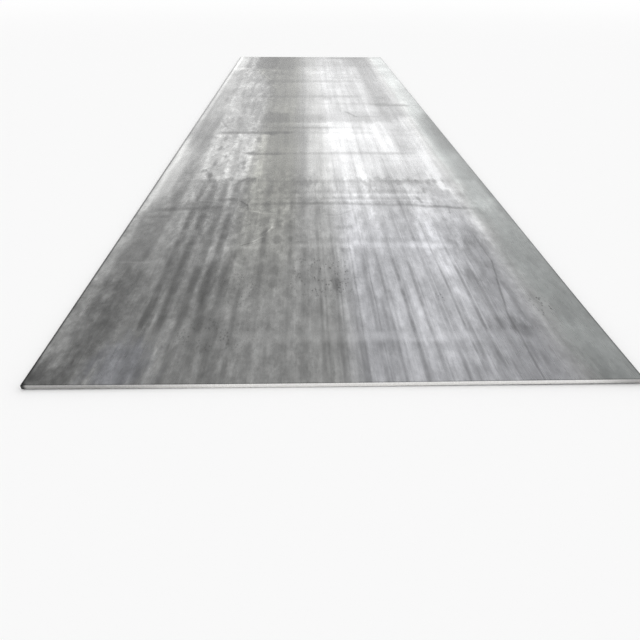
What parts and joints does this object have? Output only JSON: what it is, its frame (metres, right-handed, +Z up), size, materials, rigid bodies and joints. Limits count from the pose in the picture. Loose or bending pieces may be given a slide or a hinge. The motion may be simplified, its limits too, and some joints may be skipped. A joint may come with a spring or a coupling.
{
  "type": "steel plate",
  "caption": "Flat rectangular hot-rolled steel plate with sheared edges, raw stock for cutting, bending and welding.",
  "frame": {"origin": "middle of the underside, where the plate rests", "axes": "+Y along the length, +X across the width, +Z up through the thickness"},
  "size_m": [1.5, 6, 0.012],
  "materials": {
    "mill_scale_steel": "dark grey mill scale with lengthwise rolling streaks, half gloss, bright bare metal on the sheared edges"
  },
  "bodies": {
    "root": {"steel_plate": "mill_scale_steel"}
  },
  "joints": []
}
